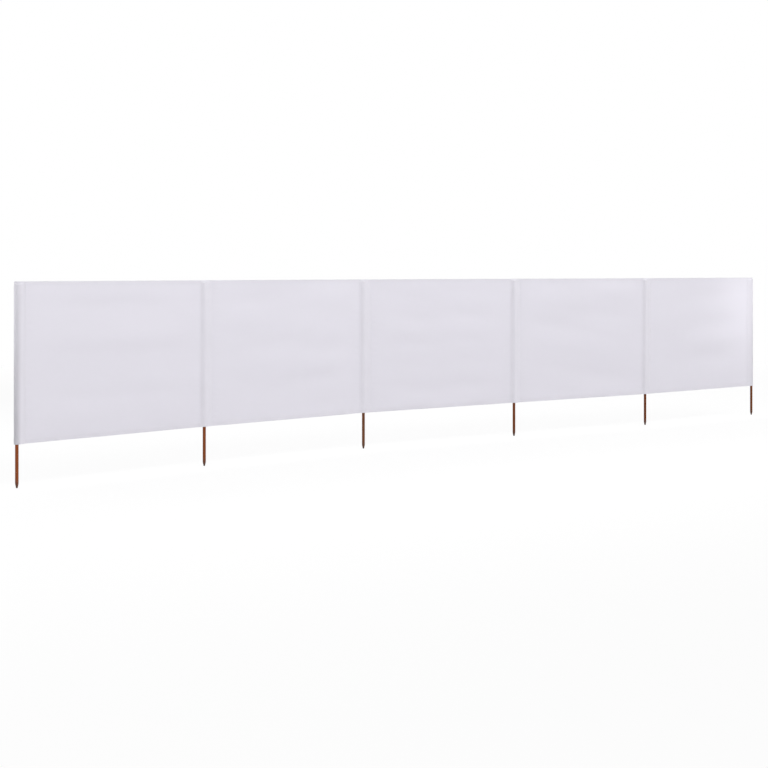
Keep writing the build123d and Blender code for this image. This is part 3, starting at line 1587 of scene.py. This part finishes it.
@dataclass
class Sleeve:
    """The pocket of cloth that holds one post, sewn shut above it and open below."""

    plan: RowPlan
    post: int
    cloth: bpy.types.Material
    mouth_hem: Turning = Turning(width=0.020, fold_radius=0.00027)
    ridge: Turning = Turning(width=0.0046, fold_radius=0.0008, rows=3)
    mouth_edge: float = 0.0003
    mouth_band: float = 0.030
    crown_bands: Pair = (0.070, 0.040)
    fine_reach: Pair = (0.018, 0.020)
    seam_gap: float = 0.001
    girth_height: float = 0.4

    def __post_init__(self) -> None:
        """Shapes the sleeve, and finds where its two side seams lie in its own lengths."""
        self.shape = SleeveShape(self.plan, self.post)
        if self.shape.at_end:
            loop = LoopFace(self.shape)
            reach = loop.quarter + self.plan.end_reach
            self.faces: list[ClothFace] = [loop]
            self.seams = (-reach, reach)
        else:
            self.faces = [FlapFace(self.shape, layer) for layer in Layer]
            self.seams = (-self.shape.before, self.shape.after)

    def build(self) -> bpy.types.Object:
        """Returns:
            The sleeve.
        """
        number = self.post + 1
        sleeve = make_object(f"sleeve_{number}", *join_slabs(self._parts()), self.cloth)
        declare(sleeve, "pocket_cloth", f"pocket_{number}")
        flat = (self.plan.cloth_width + self.mouth_hem.width, self._girth())
        return sleeve

    def front_reach(self, past: float, inset: float) -> Pair:
        """The two ends of the sleeve's front layer.

        Args:
            past: How far it runs past each side seam.
            inset: How far it starts from the outer line, on an end post.

        Returns:
            The lengths along the sleeve where it starts and ends.
        """
        left, right = self.seams[0] - past, self.seams[1] + past
        if self.post == 0:
            left = inset
        elif self.shape.at_end:
            right = -inset
        return left, right

    def _girth(self) -> float:
        """How long the sleeve's cloth is from edge to edge round the pole.

        Returns:
            The length with the seams included.
        """
        columns = self._columns()
        height = np.full_like(columns, self.plan.cloth_bottom + self.girth_height)
        rounds = [np.diff(face.points(columns, height), axis=0) for face in self.faces]
        return sum(float(np.linalg.norm(steps, axis=1).sum()) for steps in rounds)

    def _columns(self) -> np.ndarray:
        """The lengths along the row of the sleeve's columns, closest together round the pole.

        Returns:
            The lengths, in order.
        """
        seam = self.plan.seam_width
        left, right = self.seams
        near, far = self.fine_reach
        if self.shape.at_end:
            half = stepped(0.0, (LoopFace(self.shape).quarter + far, 27), (right, 7), (right + seam, 2))
            return np.concatenate([-half[::-1], half[1:]])
        return stepped(left - seam, (left, 2), (-near, 3), (far, 24), (right, 9), (right + seam, 2))

    def _rows(self) -> np.ndarray:
        """The heights of the sleeve's rows, close together at the mouth and over the pole's end.

        Returns:
            The heights, in order.
        """
        bottom, top = self.plan.cloth_bottom, self.plan.cloth_top
        upper, crown = self.crown_bands
        return stepped(
            bottom + self.mouth_edge,
            (bottom + self.mouth_band, 6),
            (top - upper, 109),
            (top - crown, 6),
            (top - self.ridge.width, 18),
            (top - self.ridge.fold_radius, 1),
        )

    def _parts(self) -> list[tuple[np.ndarray, np.ndarray]]:
        """Shapes the sleeve's layers, the fold along its ridge and the hems at its mouth.

        Returns:
            Each part's points and its lengths on the cloth.
        """
        columns = self._columns()
        along, up = np.meshgrid(columns, self._rows())
        parts = [(face.points(along, up), np.stack([along, up], axis=-1)) for face in self.faces]

        left, right = self.front_reach(self.plan.seam_width, 0.0)
        front = columns[(columns >= left) & (columns <= right)]
        ridge = self.ridge.grid(self.faces[0], Edge.TOP, self.plan.cloth_top, front, side=-1.0)
        parts.append((ridge, strip_lengths(ridge, front)))

        left, right = self.seams[0] + self.seam_gap, self.seams[1] - self.seam_gap
        inner = columns[(columns > left) & (columns < right)]
        for face, side in zip(self.faces, (-1.0, 1.0)):
            hem = self.mouth_hem.grid(face, Edge.BOTTOM, self.plan.cloth_bottom, inner, side=side)
            parts.append((hem, strip_lengths(hem, inner)))
        return parts


# --------------------------------------------------------------------------- the stitching


@dataclass(frozen=True)
class Run:
    """A straight run of stitches on a cloth face, lifted off it where a turned edge lies between."""

    face: ClothFace
    start: Pair
    end: Pair
    side: float
    lift: float = 0.0


@dataclass(frozen=True)
class Stitching:
    """Lockstitch in thick thread, one short bead for each stitch."""

    thread: bpy.types.Material
    pitch: float = 0.0038
    bead: float = 0.0031
    radius: float = 0.00030
    sides: int = 3
    ring_places: Triple = (-0.5, 0.0, 0.5)
    ring_rises: Triple = (-0.1, 0.6, -0.1)
    ring_widths: Triple = (0.45, 1.0, 0.45)

    def build(self, name: str, runs: list[Run]) -> bpy.types.Object:
        """Builds one piece of several runs.

        Args:
            name: The piece's name.
            runs: The runs of stitches.

        Returns:
            The stitches.
        """
        beads = np.concatenate([self._beads(run) for run in runs])
        count, rings, sides, _ = beads.shape
        first = (np.arange(count) * rings * sides)[:, None, None]
        around, ends = tube_faces(rings, sides)
        faces = as_faces((first + around).reshape(-1, 4)) + as_faces((first + ends).reshape(-1, sides))
        return declare(make_object(name, beads.reshape(-1, 3), faces, None, self.thread), "hem_cloth")

    def _beads(self, run: Run) -> np.ndarray:
        """The rings of one run's stitches.

        Args:
            run: The run.

        Returns:
            The rings' points for each stitch, as (stitches, rings, sides, 3).
        """
        start, end = np.array(run.start), np.array(run.end)
        length = float(np.linalg.norm(end - start))
        count = max(1, int(length / self.pitch))
        way = (end - start) / length
        middles = start + way * ((np.arange(count) + 0.5) * length / count)[:, None]
        spots = middles[:, None, :] + way * (np.array(self.ring_places) * self.bead)[None, :, None]
        points = run.face.points(spots[..., 0], spots[..., 1])
        out = run.face.normals(spots[..., 0], spots[..., 1]) * run.side
        tangent = points[:, -1:] - points[:, :1]
        tangent = tangent / np.linalg.norm(tangent, axis=-1, keepdims=True)
        across = np.cross(out, tangent)
        rise = CLOTH_THICKNESS / 2 + run.lift + np.array(self.ring_rises) * self.radius
        centres = points + out * rise[None, :, None]
        width = (np.array(self.ring_widths) * self.radius)[None, :, None]
        turns = math.pi / 2 + np.arange(self.sides) / self.sides * math.tau
        spokes = [across * math.cos(turn) + out * math.sin(turn) for turn in turns]
        return np.stack([centres + spoke * width for spoke in spokes], axis=2)


# --------------------------------------------------------------------------- the poles


@dataclass
class Pole:
    """A round wooden pole, its top edge eased and its foot turned to a blunt point."""

    number: int
    place: Pair
    wood: bpy.types.Material
    length: float
    radius: float
    point_length: float
    tip_radius: float = 0.004
    tip_easing: tuple[Pair, ...] = ((0.0010, 0.0), (0.0003, 0.0003), (0.0, 0.0009))
    shoulder_rounding: float = 0.030
    top_rounding: float = 0.002
    top_face_share: float = 0.35
    sides: int = 40
    point_rings: int = 3
    shoulder_rings: int = 7
    shaft_rings: int = 42
    top_rings: int = 5
    lumps: Ripples = Ripples(0.05, 0.30, 5, 1.2, first_seed=200)
    lump_share: float = 0.004
    lump_reach: float = 0.004

    def build(self) -> bpy.types.Object:
        """Builds the pole.

        Returns:
            The pole.
        """
        radii, heights = self._profile()
        turns = np.arange(self.sides) / self.sides * math.tau
        lumps = self.lumps.height(self.number, heights[:, None], self.lump_reach * np.cos(turns)[None])
        wide = np.minimum(radii[:, None] * (1 + self.lump_share * lumps), self.radius)
        x = self.place[0] + wide * np.cos(turns)
        y = self.place[1] + wide * np.sin(turns)
        vertices = np.stack([x, y, np.broadcast_to(heights[:, None], x.shape)], axis=-1)
        around, ends = tube_faces(len(heights), self.sides)
        faces = as_faces(around) + as_faces(ends)
        pole = make_object(f"pole_wood_{self.number}", vertices.reshape(-1, 3), faces, None, self.wood)
        return declare(pole, "pole_wood", f"pole_{self.number}")

    def _profile(self) -> tuple[np.ndarray, np.ndarray]:
        """The pole's outline from its tip to its top.

        Returns:
            The radius and the height of each ring.
        """
        lean = math.atan2(self.radius - self.tip_radius, self.point_length)
        tangent = self.shoulder_rounding * math.tan(lean / 2)
        centre = self.point_length + tangent
        easing = np.array(self.tip_easing)
        slope = (self.point_length - tangent * math.cos(lean)) * np.arange(1, self.point_rings + 1)
        slope = slope / (self.point_rings + 1)
        shoulder = np.linspace(lean, 0.0, self.shoulder_rings)
        shaft = np.linspace(centre, self.length - self.top_rounding, self.shaft_rings)[1:]
        top = np.linspace(0.0, math.pi / 2, self.top_rings + 1)[1:]
        radii = [
            self.tip_radius - easing[:, 0],
            self.tip_radius + slope * math.tan(lean),
            self.radius - self.shoulder_rounding * (1 - np.cos(shoulder)),
            np.full(len(shaft), self.radius),
            self.radius - self.top_rounding * (1 - np.cos(top)),
            [self.radius * self.top_face_share],
        ]
        heights = [
            easing[:, 1],
            slope,
            centre - self.shoulder_rounding * np.sin(shoulder),
            shaft,
            self.length - self.top_rounding * (1 - np.sin(top)),
            [self.length],
        ]
        return np.concatenate(radii), np.concatenate(heights)


# --------------------------------------------------------------------------- the whole windbreak


@dataclass
class Windbreak:
    """The whole row: poles, sleeves, bays and stitching."""

    plan: RowPlan
    cloth: ClothFinish = ClothFinish("white_cloth")
    # a copy of the cloth painted a little lighter, to offset the shade on the inner sleeves
    painted_lighter_sleeve_cloth: ClothFinish = ClothFinish("white_cloth_sleeve_painted_lighter", colour=(0.83, 0.812, 0.874))
    # painted shade on the two end sleeves, darker low down than high up
    left_painted_shade: PaintedSleeveShade = PaintedSleeveShade(low=0.25, high=0.09)
    right_painted_shade: PaintedSleeveShade = PaintedSleeveShade(low=0.15, high=0.03)
    hem_cloth: ClothFinish = ClothFinish("white_cloth_hem")
    thread: ThreadFinish = ThreadFinish("white_thread")
    stains: tuple[Triple, ...] = (
        (0.274, 0.075, 0.0265),
        (0.214, 0.059, 0.0200),
        (0.166, 0.063, 0.0290),
        (0.167, 0.047, 0.0150),
        (0.152, 0.040, 0.0105),
        (0.150, 0.046, 0.0160),
    )
    grain_shift: float = 1.7
    point_length: float = 0.022
    seam_rows: Pair = (0.0018, 0.0062)
    seam_ends: Pair = (0.002, 0.0018)
    hem_row: float = 0.0165
    hem_row_inset: float = 0.001
    mouth_row_inset: float = 0.001
    ridge_row: float = 0.0034
    ridge_row_past: float = 0.007
    ridge_row_inset: float = 0.004

    def build(self) -> list[bpy.types.Object]:
        """Builds every piece.

        Returns:
            The pieces.
        """
        cloth, hem_cloth = self.cloth.material(), self.hem_cloth.material()
        sleeve_cloths = self._sleeve_cloths()
        stitching = Stitching(self.thread.material())
        built = self._poles()
        sleeves = [Sleeve(self.plan, post, sleeve_cloths[post]) for post in range(len(self.plan.posts))]
        built += [sleeve.build() for sleeve in sleeves]
        for number, sleeve in enumerate(sleeves, start=1):
            built.append(stitching.build(f"sleeve_stitching_{number}", self._sleeve_runs(sleeve)))
        for bay in self.plan.bays:
            face = BayFace(bay, self.plan)
            built += BayCloth(face, cloth, hem_cloth).build()
            built.append(stitching.build(f"hem_stitching_{bay.number}", self._hem_runs(face)))
        return built

    def _sleeve_cloths(self) -> list[bpy.types.Material]:
        """Builds the sleeves' cloth: a copy painted a little lighter on every inner post, and one with
        painted shade on each end post.

        Returns:
            One material a post.
        """
        left = replace(self.cloth, name="white_cloth_left_end_painted_shade", painted_shade=self.left_painted_shade).material()
        right = replace(self.cloth, name="white_cloth_right_end_painted_shade", painted_shade=self.right_painted_shade).material()
        # the inner sleeves take the cloth painted a little lighter
        inner = self.painted_lighter_sleeve_cloth.material()
        return [left, *[inner] * (self.plan.last - 1), right]

    def _poles(self) -> list[bpy.types.Object]:
        """Builds the poles, each with its own piece of wood.

        Returns:
            The poles.
        """
        poles = []
        for number, place in enumerate(self.plan.posts, start=1):
            stain = self.stains[(number - 1) % len(self.stains)]
            name = f"stained_wood_{number}"
            wood = WoodFinish(name, stain, self.point_length, seed=self.grain_shift * number).material()
            sizes = (self.plan.pole_top, self.plan.pole_radius, self.point_length)
            poles.append(Pole(number, place, wood, *sizes).build())
        return poles

    def _sleeve_runs(self, sleeve: Sleeve) -> list[Run]:
        """The stitches that close a sleeve: its side seams, its mouth's hem and its ridge.

        Args:
            sleeve: The sleeve.

        Returns:
            The runs of stitches.
        """
        low, high = self.plan.cloth_bottom + self.seam_ends[0], self.plan.cloth_top - self.seam_ends[1]
        mouth, ridge = self.plan.cloth_bottom + self.hem_row, self.plan.cloth_top - self.ridge_row
        left, right = sleeve.seams
        inset = 0.0 if sleeve.shape.at_end else self.mouth_row_inset
        runs = []
        for face, side in zip(sleeve.faces, (1.0, -1.0)):
            for row in self.seam_rows:
                for across in (left - row, right + row):
                    runs.append(Run(face, (across, low), (across, high), side))
            runs.append(Run(face, (left + inset, mouth), (right - inset, mouth), side))
        start, end = sleeve.front_reach(self.ridge_row_past, self.ridge_row_inset)
        return runs + both_sides(sleeve.faces[0], (start, ridge), (end, ridge), sleeve.ridge)

    def _hem_runs(self, face: BayFace) -> list[Run]:
        """The stitches along a bay's two hems, front and back.

        Args:
            face: The bay's cloth.

        Returns:
            The runs of stitches.
        """
        left, right = face.between_seams(self.hem_row_inset)
        runs = []
        for height in (self.plan.cloth_bottom + self.hem_row, self.plan.cloth_top - self.hem_row):
            runs += both_sides(face, (left, height), (right, height), Turning())
        return runs


def both_sides(face: ClothFace, start: Pair, end: Pair, turning: Turning) -> list[Run]:
    """The two sides of one row of stitches that holds a turned edge down.

    Args:
        face: The cloth that is sewn.
        start: Where the row starts.
        end: Where it ends.
        turning: The turned edge, which lies behind the cloth.

    Returns:
        The run on the front, and the run on the back of the turned edge.
    """
    return [Run(face, start, end, 1.0), Run(face, start, end, -1.0, lift=turning.back)]


# --------------------------------------------------------------------------- the studio


@dataclass(frozen=True)
class SoftLamp:
    """A flat lamp that gives soft light and is itself never seen."""

    name: str
    place: Triple
    aim: Triple
    size: Pair
    power: float

    def build(self) -> bpy.types.Object:
        """Builds the lamp.

        Returns:
            The lamp.
        """
        light = bpy.data.lights.new(self.name, "AREA")
        light.shape = "RECTANGLE"
        light.size, light.size_y = self.size
        light.energy = self.power
        lamp = bpy.data.objects.new(self.name, light)
        bpy.context.scene.collection.objects.link(lamp)
        lamp.location = self.place
        way = Vector(self.aim) - Vector(self.place)
        lamp.rotation_euler = way.to_track_quat("-Z", "Y").to_euler()
        lamp.visible_camera = False
        return lamp


@dataclass
class Studio:
    """A plain white room: pale floor, an even sky a little brighter on one side, and soft lamps."""

    sky: float = 0.68
    sky_lean: float = 0.42
    bright_side: Triple = (0.92, -0.39, 0.0)
    floor_middle: Triple = (3.0, 0.0, 0.0)
    floor_drop: Triple = (0.0, 0.0, -0.0002)
    floor_rings: tuple[float, ...] = (0.5, 6.0, 14.0, 45.0)
    floor_sides: int = 96
    lamps: tuple[SoftLamp, ...] = (
        SoftLamp("long_lamp", (2.9, -2.4, 3.3), (2.9, 0.0, 0.6), (12.0, 1.2), 111.0),
        SoftLamp("back_lamp", (2.9, 2.8, 3.3), (2.9, 0.0, 0.6), (12.0, 1.2), 95.0),
        SoftLamp("left_end_lamp", (-0.40, 0.10, 0.90), (0.0, 0.0, 0.85), (0.25, 0.25), 0.60),
        SoftLamp("right_end_lamp", (5.90, -0.36, 0.84), (5.98, 0.0, 0.80), (0.30, 0.42), 0.29),
    )

    def build(self) -> None:
        """Builds the floor, the sky and the lamps."""
        bpy.context.scene.view_settings.view_transform = "Standard"
        self._sky()
        self._floor()
        for lamp in self.lamps:
            lamp.build()

    def _floor(self) -> bpy.types.Object:
        """Builds the floor, a wide disc level with the poles' tips.

        Returns:
            The floor.
        """
        turns = np.arange(self.floor_sides) / self.floor_sides * math.tau
        circle = np.stack([np.cos(turns), np.sin(turns), np.zeros_like(turns)], axis=-1)
        vertices = np.array(self.floor_rings)[:, None, None] * circle
        vertices = vertices + self.floor_middle + self.floor_drop
        around, ends = tube_faces(len(self.floor_rings), self.floor_sides)
        faces = as_faces(ends[:1, ::-1]) + as_faces(around[:, ::-1])
        material = FloorFinish(self.floor_middle).material()
        return make_object("floor", vertices.reshape(-1, 3), faces, None, material)

    def _sky(self) -> None:
        """Lights the scene evenly from all round, and shows white to the camera."""
        world = bpy.data.worlds.new("sky")
        bpy.context.scene.world = world
        world.use_nodes = True
        bench = NodeBench(world.node_tree, "ShaderNodeOutputWorld")
        facing = bench.add("ShaderNodeVectorMath", operation="DOT_PRODUCT")
        bench.feed(facing.inputs[0], bench.add("ShaderNodeTexCoord").outputs["Generated"])
        facing.inputs[1].default_value = self.bright_side
        level = bench.math("MULTIPLY_ADD", facing.outputs["Value"], self.sky * self.sky_lean, self.sky)
        plain = opaque((1.0, 1.0, 1.0))
        even = bench.put(bench.add("ShaderNodeBackground"), Color=plain, Strength=level)
        white = bench.put(bench.add("ShaderNodeBackground"), Color=plain, Strength=1.0)
        bench.finish(bench.mix(bench.seen(), even, white))


@dataclass(frozen=True)
class Viewpoint:
    """The camera: level, a little above the cloth, off the left-hand end."""

    place: Triple = (-3.715, -7.010, 1.0675)
    azimuth: float = -41.023
    sensor: float = 36.0
    lens: float = 73.95
    rise: float = -0.1482
    clip: Pair = (0.1, 200.0)

    def build(self) -> bpy.types.Object:
        """Builds the camera.

        Returns:
            The camera.
        """
        data = bpy.data.cameras.new("camera")
        data.sensor_width = self.sensor
        data.lens = self.lens
        data.shift_y = self.rise
        data.clip_start, data.clip_end = self.clip
        camera = bpy.data.objects.new("camera", data)
        bpy.context.scene.collection.objects.link(camera)
        camera.location = self.place
        camera.rotation_euler = (math.pi / 2, 0.0, math.radians(self.azimuth))
        bpy.context.scene.camera = camera
        return camera


def corners(box: tuple[Vector, Vector]) -> list[list[float]]:
    """The two corners of a box as plain lists of numbers."""
    return [[float(value) for value in corner] for corner in box]


def main() -> None:
    """Loads the frame and dresses it: camera, windbreak, studio."""
    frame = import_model()
    Viewpoint().build()
    plan = RowPlan.from_frame(frame)
    pieces = Windbreak(plan).build()
    for piece in pieces:
        log.info("%s: %d vertices", piece.name, len(piece.data.vertices))
    log.info("%d pieces on %d posts", len(pieces), len(plan.posts))
    Studio().build()


if __name__ == "__main__":
    logging.basicConfig(level=logging.INFO, format="%(name)s: %(message)s")
    main()
